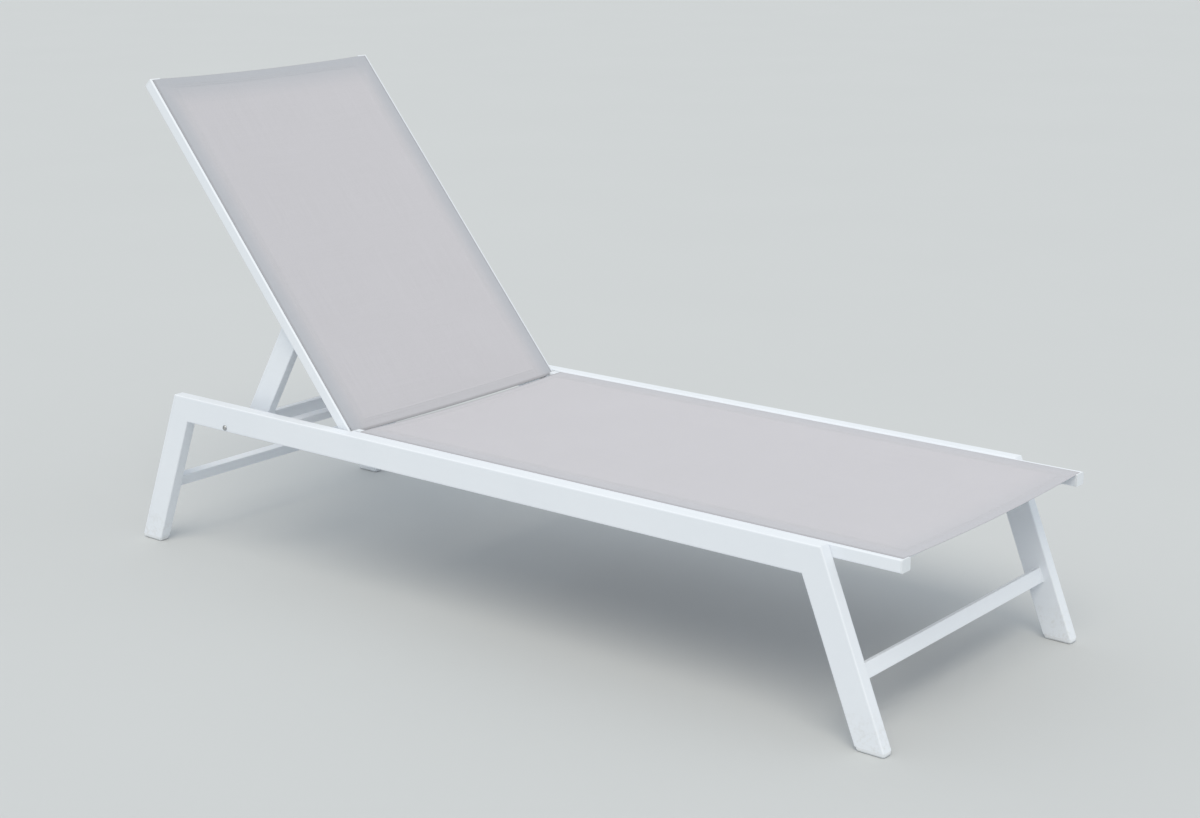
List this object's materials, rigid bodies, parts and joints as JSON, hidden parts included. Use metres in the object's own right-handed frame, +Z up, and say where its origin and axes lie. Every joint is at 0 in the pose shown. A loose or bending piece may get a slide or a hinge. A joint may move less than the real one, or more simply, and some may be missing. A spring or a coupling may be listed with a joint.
{
  "type": "reclining sun lounger",
  "caption": "Low reclining sun lounger with a rectangular-tube frame, splayed legs, a stretched sling seat and a sling back held up by a hinged prop.",
  "frame": {"origin": "on the ground under the middle of the object's box", "axes": "+Y along the lounger from the foot end to the head end, +X across it to the right of someone who looks towards the head end, +Z up"},
  "size_m": [0.656, 1.8116, 0.9504],
  "materials": {
    "frame_coat": "satin",
    "sling_fabric": "matte",
    "keder_plastic": "matte",
    "foot_plastic": "matte",
    "cap_plastic": "matte",
    "bush_plastic": "satin",
    "steel_hardware": "satin"
  },
  "bodies": {
    "frame": {"back_hinge_bolt_left": "steel_hardware", "back_hinge_bolt_right": "steel_hardware", "back_hinge_nuts": "steel_hardware", "frame_brace": "frame_coat", "front_crossbar": "frame_coat", "front_foot_left": "foot_plastic", "front_foot_right": "foot_plastic", "front_leg_left": "frame_coat", "front_leg_right": "frame_coat", "rack_bolts": "steel_hardware", "rack_left": "steel_hardware", "rack_right": "steel_hardware", "rear_crossbar": "frame_coat", "rear_foot_left": "foot_plastic", "rear_foot_right": "foot_plastic", "rear_leg_left": "frame_coat", "rear_leg_right": "frame_coat", "seat_cap_front_left": "cap_plastic", "seat_cap_front_right": "cap_plastic", "seat_cap_rear_left": "cap_plastic", "seat_cap_rear_right": "cap_plastic", "seat_keder_left": "keder_plastic", "seat_keder_right": "keder_plastic", "seat_rail_bolts": "steel_hardware", "seat_rail_left": "frame_coat", "seat_rail_nuts": "steel_hardware", "seat_rail_right": "frame_coat", "seat_sling": "sling_fabric", "seat_spreader_1": "frame_coat", "seat_spreader_2": "frame_coat", "seat_spreader_3": "frame_coat", "side_rail_left": "frame_coat", "side_rail_right": "frame_coat"},
    "back": {"back_bush_left": "bush_plastic", "back_bush_right": "bush_plastic", "back_cap_left": "cap_plastic", "back_cap_right": "cap_plastic", "back_keder_left": "keder_plastic", "back_keder_right": "keder_plastic", "back_rail_left": "frame_coat", "back_rail_right": "frame_coat", "back_sling": "sling_fabric", "back_spreader_low": "frame_coat", "back_spreader_top": "frame_coat", "prop_hinge_bolt_left": "steel_hardware", "prop_hinge_bolt_right": "steel_hardware", "prop_hinge_nuts": "steel_hardware"},
    "prop": {"prop_bush_left": "bush_plastic", "prop_bush_right": "bush_plastic", "prop_foot_bar": "frame_coat", "prop_leg_left": "frame_coat", "prop_leg_right": "frame_coat", "prop_peg_left": "steel_hardware", "prop_peg_right": "steel_hardware", "prop_plug_left": "cap_plastic", "prop_plug_right": "cap_plastic"}
  },
  "joints": [
    {"name": "back_recline", "type": "hinge", "parent": "frame", "child": "back", "pos_m": [0, 0.314, 0.314], "axis": [1, 0, 0], "range_deg": [-50.3, 2]},
    {"name": "prop_swing", "type": "hinge", "parent": "back", "child": "prop", "pos_m": [0, 0.48462, 0.51951], "axis": [1, 0, 0], "range_deg": [-4.4, 106.2]}
  ],
  "couplings": [
    {"joint": "prop_swing", "follows": "back_recline", "ratio": -2.1083}
  ]
}
